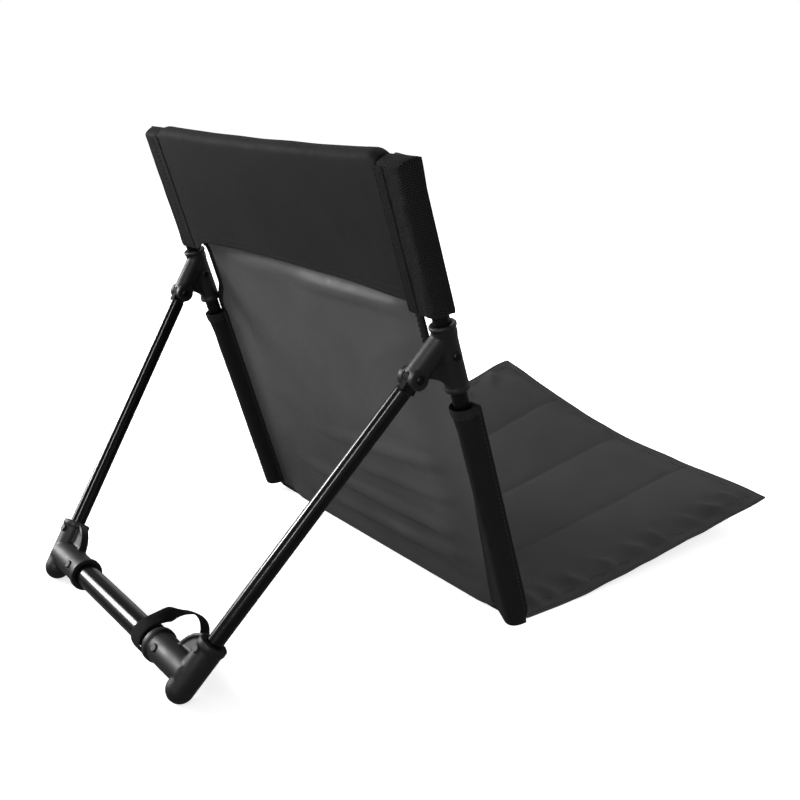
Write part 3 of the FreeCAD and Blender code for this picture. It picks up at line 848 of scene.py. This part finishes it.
def seat_shape(x, y):
    """Heights of the seat's top and underside."""
    half = seat_half(y)
    place = (x / half + 1.0) * CHANNELS / 2.0
    t = place - np.floor(np.clip(place, 0.0, CHANNELS - 1e-6))
    arch = np.sin(np.pi * np.clip(t, 0.0, 1.0)) ** 0.7
    quilt = SEAM_THICK + (CROWN - SEAM_THICK) * arch
    from_side = half - np.abs(x)
    from_end = np.minimum(y - SEAT_REAR, SEAT_FRONT - y)
    inside = np.minimum(from_side, from_end)
    padded = ramp(from_side, 1.0, HEM_WIDE + 9.0) * ramp(from_end, 0.0, HEM_WIDE + 27.0)
    to_seam = np.abs(t - np.round(t)) * half * 2.0 / CHANNELS
    groove = GROOVE * np.exp(-(to_seam / GROOVE_WIDE) ** 2)
    thick = HEM_THICK + (quilt - groove - HEM_THICK) * padded
    near_seam = np.exp(-(to_seam / 9.0) ** 2) * ramp(from_side, 20.0, 40.0) * ramp(from_end, 4.0, 20.0)
    gather = near_seam * 0.3 * ripples(0.2 * x, y, 9.0, 61)
    leaning = y + 0.25 * (from_side - HEM_WIDE) + 4.0 * ripples(x, y, 40.0, 74)
    lift = np.where(x > 0, puckers(leaning, 71, PUCKER_STEP), puckers(leaning, 72, PUCKER_STEP))
    hem = ramp(from_side, 2.0, HEM_WIDE + 3.0) * ramp(from_side, HEM_WIDE + 30.0, HEM_WIDE + 6.0)
    hem = hem * ramp(y, SEAT_REAR + 4.0, SEAT_REAR + 40.0) * ramp(from_end, 2.0, 14.0)
    front_hem = np.exp(-((SEAT_FRONT - y - HEM_WIDE) / 8.0) ** 2) * ramp(from_side, 4.0, 30.0)
    soft = 0.5 * ripples(x, y, 70.0, 51) * padded
    near_edge = ramp(y, SEAT_REAR + 60.0, SEAT_FRONT) * ramp(inside, 40.0, 0.0)
    edge_wave = near_edge * 0.5 * ripples(x, y, 60.0, 77)
    base = seat_floor(x, y)
    floor = base + np.maximum(edge_wave, -base)
    floor = floor + REAR_LIFT * ramp(y, SEAT_REAR + 10.0, SEAT_REAR + 1.0)
    front_lift = FRONT_PUCKER_HIGH * front_hem * puckers(x, 73, FRONT_PUCKER_STEP)
    top = floor + thick + PUCKER_HIGH * hem * lift + front_lift + gather + soft
    tuck = 0.5 * ramp(np.exp(-(to_seam / 6.0) ** 2), 0.2, 1.0)
    under = floor + tuck * ramp(y, SEAT_FLAT_END, SEAT_FLAT_END + 60.0)
    return np.maximum(top, under + LEAST_THICK), under


def build_seat():
    """Quilted pad as one closed form, with a thin sewn hem all round."""
    rows, cols = 99, 121
    share, y = np.meshgrid(np.linspace(-1.0, 1.0, cols), np.linspace(SEAT_REAR, SEAT_FRONT, rows))
    x = share * seat_half(y)
    top, under = seat_shape(x, y)
    at_edge = np.sign(share) * ramp(np.abs(share), 0.93, 1.0)
    side_wave = 0.4 * ripples(y, 0.0, 33.0, 81) * at_edge
    x = x + side_wave * ramp(y, SEAT_REAR + 10.0, SEAT_REAR + 60.0)
    high = np.stack([x, y, top], axis=-1)
    low = np.stack([x, y, under], axis=-1)
    low[0, :, 2] = np.minimum(low[0, :, 2], high[0, :, 2] - LEAST_THICK)
    faces = grid_faces(rows, cols)
    size = rows * cols
    faces += [tuple(size + i for i in face[::-1]) for face in grid_faces(rows, cols)]
    border = list(range(cols)) + [r * cols + cols - 1 for r in range(1, rows)]
    border += [(rows - 1) * cols + c for c in range(cols - 2, -1, -1)]
    border += [r * cols for r in range(rows - 2, 0, -1)]
    for i, a in enumerate(border):
        b = border[(i + 1) % len(border)]
        faces.append((b, a, size + a, size + b))
    points = np.concatenate([high, low])
    uv = np.concatenate([pairs(x, y)] * 2)
    seat = make_object("seat_pad", points, faces, uv, SEAT_CLOTH)
    soften(seat)
    return dress(seat, "seat", "cover_cloth", "seat_top_cover", "seat_foam", "seat_bottom_cover")


# Strap

BAR = np.array([0.0, middle(reach("rear_bar", AHEAD)), middle(reach("rear_bar", ABOVE))])
BAR_R = reach("rear_bar", ABOVE)[1] - BAR[2]
# Directions up and in front of the legs' slant
PROP_UP = unit(np.array([0.0, 0.601, 0.799]))
PROP_FRONT = np.array([0.0, PROP_UP[2], -PROP_UP[1]])
STRAP_WIDE = 17.0
TAIL_WIDE = 10.0
STRAP_THICK = 1.5
STRAP_GAP = 0.4
STRAP_X = reach("strap", RIGHT)[0] + STRAP_WIDE / 2.0
# Angles in degrees at which the webbing's turns on the bar begin and end
WOUND_FROM = -380.0
WOUND_TO = 50.0
# The tail's way from the bar: right of the turns, up along the legs and in front of them
TAIL = [(-2.0, 15.0, -1.0), (-2.0, 21.5, 7.5), (4.0, 28.0, 14.0), (14.0, 32.0, 17.0),
        (26.0, 31.5, 18.0), (37.0, 26.2, 16.5), (42.5, 18.5, 15.5)]


def build_strap():
    """Webbing wound on the bar beside the elbow, its tail standing up in an open loop."""
    angle = np.radians(np.linspace(WOUND_FROM, WOUND_TO, 70))
    first = BAR_R + STRAP_GAP + STRAP_THICK / 2.0
    radius = np.linspace(first, first + STRAP_GAP + STRAP_THICK, len(angle))
    wound = np.stack([0.0 * angle, radius * np.sin(angle), -radius * np.cos(angle)], axis=1)
    tail = flowing(np.vstack([wound[-1:], TAIL]), 60)
    route = np.vstack([wound, tail[1:]])
    path = BAR + (STRAP_X + route[:, :1]) * RIGHT + route[:, 1:2] * PROP_UP + route[:, 2:3] * PROP_FRONT
    heading = unit(np.gradient(path, axis=0))
    far = along_path(path)
    leaves = far[len(wound) - 1]
    twist = ramp(far, leaves - 4.0, leaves + 36.0)
    across = unit(RIGHT * (1.0 - twist[:, None]) + PROP_FRONT * twist[:, None])
    across = unit(across - heading * np.sum(across * heading, axis=1, keepdims=True))
    width = STRAP_WIDE + (TAIL_WIDE - STRAP_WIDE) * twist
    strap = band("strap_webbing", path, np.cross(heading, across), width, STRAP_THICK, STRAP_WEB)
    return dress(strap, "strap", "webbing", "strap"), far[-1]


# Moulded joints, with corners eased as a mould leaves them

RING_LONG = 7.0
RING_PROUD = 0.25
BARREL_R = 13.6
MOULD_VOXEL = 0.8
MOULD_ROUNDS = 7


def lower_ring(mesh, limits):
    """Draws in the ring round the bar's mouth, so that it stands only a little proud of the barrel."""
    points = mesh_points(mesh)
    mouth = min(np.abs(limits))
    near = ramp(np.abs(points[:, 0]) - mouth, RING_LONG + 3.0, RING_LONG)
    off = points[:, 1:] - BAR[1:]
    far = np.linalg.norm(off, axis=1)
    drawn = np.where(far > BARREL_R, BARREL_R + (far - BARREL_R) * RING_PROUD, far)
    scale = 1.0 + (drawn / np.maximum(far, 1e-6) - 1.0) * near
    points[:, 1:] = BAR[1:] + off * scale[:, None]
    mesh.vertices.foreach_set("co", (points * MM).astype(np.float32).ravel())


def build_moulded(node, body):
    """A copy of a node's solid in moulded plastic, with eased corners."""
    copy = add_object(node + "_moulding", frame["nodes"][node].data.copy())
    mod = copy.modifiers.new("remesh", "REMESH")
    mod.mode = "VOXEL"
    mod.voxel_size = MOULD_VOXEL * MM
    mod.use_smooth_shade = True
    ease = copy.modifiers.new("ease", "SMOOTH")
    ease.factor = 0.5
    ease.iterations = MOULD_ROUNDS
    ready = copy.evaluated_get(bpy.context.evaluated_depsgraph_get())
    mesh = bpy.data.meshes.new_from_object(ready)
    copy.modifiers.clear()
    copy.data = mesh
    if "elbow" in node:
        lower_ring(mesh, reach(node, RIGHT))
    mesh.materials.clear()
    mesh.materials.append(PLASTIC)
    mesh.shade_smooth()
    return dress(copy, body, "black_plastic", node)


# Edge bindings, tapes and stitching

HEM_BAND = 8.0
TAPE_INSET = 2.6
NOTCH_TAPE_WIDE = 10.0
HOOD_TAPE_WIDE = 12.0
# Height of thread above the cloth's middle, and steps in which its lines are traced
SURFACE = CLOTH / 2.0 + 0.15
STITCH_STEP = 3.0
# Stitch lines beside the notches, the hood's side seams, its hem and the seat's edges
NOTCH_ROWS = (6.24, 2.21)
SEAM_ROWS = (-2.2, 7.2)
HOOD_ROWS = (4.0, 9.0)
SEAT_ROWS = (2.6, HEM_WIDE - 1.5)


def notch_path(side):
    """The inner edge of a notch, from its lower corner to its upper one, as (x, s)."""
    turn = np.linspace(0.0, math.pi / 2.0, 9)
    low = [(NOTCH_IN + SLANT_WIDE + 2.0, NOTCH_LOW - 3.0), (NOTCH_IN, NOTCH_LOW + SLANT_HIGH)]
    high = [(NOTCH_IN + CORNER * (1.0 - math.cos(a)), NOTCH_HIGH - CORNER * (1.0 - math.sin(a)))
            for a in turn]
    path = rounded(even(np.array(low + high + [(NOTCH_IN + 12.0, NOTCH_HIGH)]), 48), 4)
    return drawn_shut(side * path[:, 0], path[:, 1]), path[:, 1]


def rearward(points):
    """Outward directions of a sleeve's grid of points."""
    flip = unit(np.cross(np.gradient(points, axis=0), np.gradient(points, axis=1)))
    return flip * -np.sign(np.mean(flip @ FRONT))


def facing_rear(path):
    """A path on the back's rear, with the directions out of it."""
    return path, np.broadcast_to(-FRONT, path.shape)


def on_panel(x, s, lift):
    """A path on the panel, with the directions out of its rear."""
    return facing_rear(on_back(x, panel_n(x, s) + lift, s))


def on_seat(x, y):
    """A path on top of the seat, with the directions out of it."""
    path = np.stack([x, y, seat_shape(x, y)[0] + 0.1], axis=-1)
    return path, np.broadcast_to(ABOVE, path.shape)


def build_sleeve_hem(word, points):
    """A second layer over the upper end of a lower sleeve."""
    heights = points[:, 0] @ UP - POLE_S
    rows = np.flatnonzero(heights > NOTCH_LOW - HEM_BAND - CELL)
    lifted = (points + rearward(points) * (CLOTH / 2.0 + 0.45))[rows] + UP * 0.4
    across = along_path(lifted[-1])
    uv = pairs(across, heights[rows][:, None])
    hem = make_grid(word + "_sleeve_hem", lifted, uv, POCKET_CLOTH)
    thicken(hem, 0.8)
    return dress(hem, "back", "sleeve_cloth")


def build_notch_tape(word, side):
    x, s = notch_path(side)
    path, out = on_panel(x - side * TAPE_INSET, s, 0.0)
    tape = band(word + "_notch_tape", path, out, NOTCH_TAPE_WIDE, CLOTH + 1.3, TAPE)
    return dress(tape, "back", "sleeve_cloth", word + "_notch_binding")


def build_hood_tape(word, side):
    s = lines_between(NOTCH_HIGH + 0.5, TOP_S - 2.0, CELL)
    path, out = facing_rear(on_back(side * (SEAM_X + 2.5), POCKET_N - 0.8, s))
    return dress(band(word + "_hood_tape", path, out, HOOD_TAPE_WIDE, 0.6, TAPE), "back", "sleeve_cloth")


def side_lines(side, points):
    """Stitch lines of one side of the back: notch tape, hood tape and lower sleeve."""
    lines = []
    x, s = notch_path(side)
    for inset in NOTCH_ROWS:
        lines.append(on_panel(x - side * inset, s, -CLOTH / 2.0 - 0.75))
    s = lines_between(NOTCH_HIGH + 1.0, TOP_S - 3.0, STITCH_STEP)
    for shift in SEAM_ROWS:
        lines.append(facing_rear(on_back(side * (SEAM_X + shift), POCKET_N - 1.15, s)))
    out = rearward(points)
    lifted = points + out * SURFACE
    for column in (2, -3):
        lines.append((lifted[2:-1, column], out[2:-1, column]))
    lines.append((lifted[-3], out[-3]))
    return lines


def hood_lines():
    """Two stitch lines along the hood's hem."""
    x = lines_between(-SEAM_X + 8.0, SEAM_X - 8.0, STITCH_STEP)
    heights = [HOOD_HEM + high for high in HOOD_ROWS]
    return [facing_rear(on_back(x, pocket_n(x, s) - SURFACE, s)) for s in heights]


def seat_lines():
    """Stitch lines along the seat's channels, and two along its side and front hems."""
    y = lines_between(SEAT_REAR + 6.0, SEAT_FRONT - 6.0, STITCH_STEP)
    lines = [on_seat(seat_half(y) * (2.0 * k / CHANNELS - 1.0), y) for k in range(1, CHANNELS)]
    for inset in SEAT_ROWS:
        y = lines_between(SEAT_REAR + 6.0, SEAT_FRONT - inset, STITCH_STEP)
        for _, side in SIDES:
            lines.append(on_seat(side * (seat_half(y) - inset), y))
        x = lines_between(-SEAT_HALF_FRONT + inset, SEAT_HALF_FRONT - inset, STITCH_STEP)
        lines.append(on_seat(x, np.full(len(x), SEAT_FRONT - inset)))
    return lines


# Assembly

# Inner edges of the sleeves beside their poles, at their lower and upper ends
LOWER_INNER = {"left": (-11.0, -13.0), "right": (-36.0, -13.0)}
UPPER_INNER = (SEAM_X - POLE_X - HOOD_LAP,) * 2
SLEEVE_FOOT = -5.5
NODE_LOOKS = (
    (TUBE, ("left_pole", "right_pole", "left_leg", "right_leg", "rear_bar")),
    (KNUCKLE_PAINTED_SHADE, ("left_knuckle", "right_knuckle")),
    (CAP, ("pole_top_caps", "pole_feet")),
    (RIVET, ("hub_rivets", "knuckle_pins")),
    (PLASTIC, ("leg_rivets", "bar_rivets")),
)


def build_side(word, side):
    """Sleeves, hub and elbow of one side. Returns the sleeves and the lower one's points."""
    lower, points = build_sleeve(word, side, False, SLEEVE_FOOT, NOTCH_LOW, SLEEVE_CLOTH, 1.6,
                                 LOWER_INNER[word])
    upper, _ = build_sleeve(word, side, True, NOTCH_HIGH, TOP_S + 1.0, GUSSET_MESH, 0.6, UPPER_INNER)
    build_moulded(word + "_hub", "back")
    build_moulded(word + "_elbow", "prop")
    return lower, upper, points


def finish_nodes():
    for material, names in NODE_LOOKS:
        for name in names:
            frame["nodes"][name].data.materials[0] = material


panel = build_panel()
welt = build_welt()
hood = build_pocket()
seat = build_seat()
strap, strap_length = build_strap()
sleeves = {word: build_side(word, side) for word, side in SIDES}
finish_nodes()
hems = {word: build_sleeve_hem(word, sleeves[word][2]) for word, _ in SIDES}
bindings = [build_notch_tape(word, side) for word, side in SIDES]
hood_tapes = [build_hood_tape(word, side) for word, side in SIDES]
back_lines = [line for word, side in SIDES for line in side_lines(side, sleeves[word][2])]
back_stitches = dress(stitches("back_stitches", back_lines + hood_lines(), THREAD), "back", "sleeve_cloth")
dress(stitches("seat_stitches", seat_lines(), THREAD), "seat", "cover_cloth")

# Flat widths of a lower and an upper sleeve's cloth, in millimetres

lower_wide = along_path(sleeve_section(False, -13.0, EDGE_LOW))[-1]
upper_wide = along_path(sleeve_section(True, SEAM_X - POLE_X, EDGE_HIGH))[-1]


# Stage, light and camera, with places and sizes in metres

FLOOR_HALF = 40.0
# Brightness of the surroundings: two heights, then the brightness at each
SKY_FALL = (0.16, 0.6, 1.0, 0.25)
GROUND_RISE = (-0.12, -0.04, 0.2, 1.0)


def build_stage():
    corners = [(x, y, 0.0) for x, y in ((-1, -1), (1, -1), (1, 1), (-1, 1))]
    floor = make_object("floor", np.array(corners) * FLOOR_HALF / MM, [(0, 1, 2, 3)])
    look = Look("pale floor")
    clouds = look.noise(look.object_place(), 400.0, 2.0)
    look.set(Base_Color=look.shade(clouds, 0.90, 0.92))
    look.set(Roughness=0.9, Specular_IOR_Level=0.1)
    look.set(Emission_Color=(1.0, 1.0, 1.0, 1.0), Emission_Strength=0.7)
    floor.data.materials.append(look.material)
    floor.visible_glossy = False


def soft_light(name, at, aim, size, power, gloss_only=False):
    lamp = bpy.data.lights.new(name, "AREA")
    lamp.shape = "RECTANGLE"
    lamp.size, lamp.size_y = size
    lamp.energy = power
    thing = add_object(name, lamp)
    thing.visible_camera = False
    thing.visible_diffuse = not gloss_only
    thing.location = at
    x, y, z = np.subtract(aim, at)
    thing.rotation_euler = (math.atan2(math.hypot(x, y), -z), 0.0, math.atan2(y, x) - math.pi / 2.0)


def build_surroundings():
    """Light from all round, dimmer from above and below."""
    world = bpy.data.worlds.new("studio")
    scene.world = world
    world.use_nodes = True
    nodes = Nodes(world.node_tree)
    facing = nodes.node("TexCoord").outputs["Generated"]
    height = nodes.node("SeparateXYZ", {0: facing}).outputs[2]
    strength = nodes.times(nodes.spread(height, *SKY_FALL), nodes.spread(height, *GROUND_RISE))
    background = world.node_tree.nodes["Background"]
    nodes.put(background.inputs["Strength"], strength)
    nodes.put(background.inputs["Color"], (1.0, 1.0, 1.0, 1.0))


def build_lights():
    soft_light("key", (-1.9, -1.3, 0.95), (0.0, -0.2, 0.12), (0.9, 0.9), 60.0)
    soft_light("bar gloss", (-1.9, -1.25, 1.0), (0.0, -0.29, 0.03), (0.36, 0.6), 115.0, gloss_only=True)
    soft_light("leg gloss", (0.7, -1.6, 1.3), (0.16, -0.18, 0.14), (0.1, 1.7), 80.0, gloss_only=True)
    soft_light("top", (-0.9, 0.7, 1.9), (0.0, 0.1, 0.1), (0.6, 0.6), 26.0)
    soft_light("fill", (0.9, 2.1, 1.3), (0.0, 0.1, 0.15), (1.0, 1.0), 14.0)


CAMERA_AT = (0.7801, -0.5857, 0.4523)
CAMERA_AZIMUTH = 53.26
CAMERA_ELEVATION = 17.52
FOCAL_PIXELS = 1084.4
IMAGE_PIXELS = 800.0


def build_camera():
    camera = bpy.data.cameras.new("camera")
    camera.sensor_fit = "HORIZONTAL"
    camera.sensor_width = 36.0
    camera.lens = FOCAL_PIXELS / IMAGE_PIXELS * camera.sensor_width
    camera.clip_start = 0.01
    thing = add_object("camera", camera)
    thing.location = CAMERA_AT
    thing.rotation_euler = (math.radians(90.0 - CAMERA_ELEVATION), 0.0, math.radians(CAMERA_AZIMUTH))
    scene.camera = thing


build_stage()
build_surroundings()
build_lights()
build_camera()
scene.view_settings.view_transform = "Standard"
